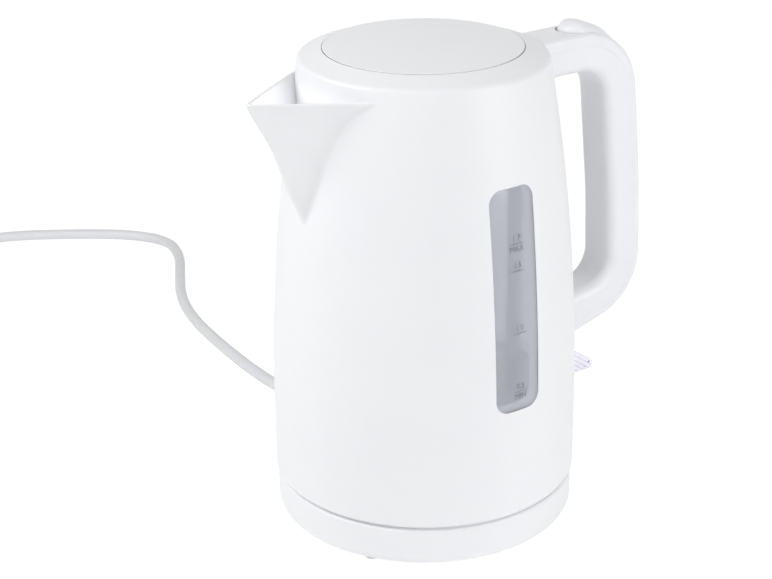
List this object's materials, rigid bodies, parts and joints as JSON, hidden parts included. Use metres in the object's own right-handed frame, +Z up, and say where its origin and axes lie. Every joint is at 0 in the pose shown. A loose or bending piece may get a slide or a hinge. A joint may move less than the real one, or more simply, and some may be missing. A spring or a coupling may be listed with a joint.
{
  "type": "electric kettle",
  "caption": "Cordless electric kettle: round tapered jug with a vee spout, loop handle, sprung hinged lid and water window, on a round swivelling power base with a mains lead.",
  "frame": {"origin": "on the jug's axis, at the table under the power base's feet", "axes": "+Z up, +X towards the handle, -X towards the spout, -Y towards the water window"},
  "size_m": [0.3462, 0.5607, 0.2469],
  "materials": {
    "white_plastic": "moulded white plastic with a soft shine",
    "window_plastic": "clear grey-tinted moulded window",
    "clear_plastic": "clear moulded switch paddle",
    "grey_plastic": "light grey moulding",
    "black_plastic": "heat-proof black moulding",
    "steel": "stainless steel",
    "aluminium": "bare aluminium",
    "brass": "bare brass",
    "silicone": "translucent white silicone",
    "foot_rubber": "dark grey rubber",
    "cord_rubber": "white cord covering, satin",
    "wire_sleeve": "coloured wire covering",
    "lamp_glass": "neon lamp"
  },
  "bodies": {
    "power_base": {"base_top_shell": "white_plastic", "base_bottom_cover": "white_plastic", "base_feet": "foot_rubber", "base_screws": "steel", "contact_springs": "brass", "base_wires": "wire_sleeve", "cord_clamp": "grey_plastic", "strain_relief": "cord_rubber", "power_cord": "cord_rubber", "plug_body": "cord_rubber", "plug_pins": "steel", "plug_earth_clips": "steel"},
    "connector": {"connector_plug": "black_plastic", "connector_sleeve": "brass"},
    "lid": {"lid_cover": "white_plastic", "lid_pan": "white_plastic"},
    "opener": {"lid_button": "white_plastic"},
    "latch": {"latch_hook": "grey_plastic"},
    "switch": {"switch_lever": "clear_plastic"},
    "trip": {"trip_lever": "grey_plastic"},
    "filter": {"filter_frame": "grey_plastic", "filter_mesh": "steel"},
    "jug": {"jug_body": "white_plastic", "level_window": "window_plastic", "handle_cover": "white_plastic", "handle_inner": "white_plastic", "handle_screws": "steel", "lid_hinge_pin": "steel", "lid_spring": "steel", "latch_spring": "steel", "element_seal": "silicone", "element_plate": "steel", "steam_tube": "grey_plastic", "heat_diffuser": "aluminium", "heating_element": "aluminium", "control_body": "black_plastic", "control_contacts": "brass", "bimetal_disc": "steel", "jug_bottom_cover": "white_plastic", "bottom_cover_screws": "steel", "switch_pin": "steel", "switch_bracket": "grey_plastic", "trip_pin": "steel", "steam_bimetal": "steel", "indicator_lamp": "lamp_glass"}
  },
  "joints": [
    {"name": "swivel", "type": "hinge", "parent": "power_base", "child": "connector", "pos_m": [0, 0, 0.023], "axis": [0, 0, 1], "continuous": true},
    {"name": "jug_lift", "type": "slide", "parent": "connector", "child": "jug", "axis": [0, 0, 1], "range_m": [0, 0.12]},
    {"name": "lid_hinge", "type": "hinge", "parent": "jug", "child": "lid", "pos_m": [0.057, 0, 0.2355], "axis": [0, 1, 0], "range_deg": [0, 70]},
    {"name": "button_press", "type": "hinge", "parent": "jug", "child": "opener", "pos_m": [0.1145, 0, 0.2262], "axis": [0, -1, 0], "range_deg": [0, 5.2], "stiffness_Nm_per_rad": 1.2, "springref_deg": -1.72},
    {"name": "latch_drop", "type": "slide", "parent": "jug", "child": "latch", "axis": [0, 0, -1], "range_m": [0, 0.0025], "deforming": ["latch_spring"]},
    {"name": "switch_rock", "type": "hinge", "parent": "jug", "child": "switch", "pos_m": [0.066, 0, 0.0545], "axis": [0, -1, 0], "range_deg": [0, 6]},
    {"name": "trip_rock", "type": "hinge", "parent": "jug", "child": "trip", "pos_m": [0.062, 0, 0.0455], "axis": [0, -1, 0], "range_deg": [-10, 2]},
    {"name": "filter_slide", "type": "slide", "parent": "jug", "child": "filter", "axis": [1, 0, 0], "range_m": [0, 0.012]}
  ],
  "couplings": [
    {"joint": "latch_drop", "follows": "button_press", "m_per_rad": 0.0245},
    {"joint": "trip_rock", "follows": "switch_rock", "ratio": -1.4}
  ]
}
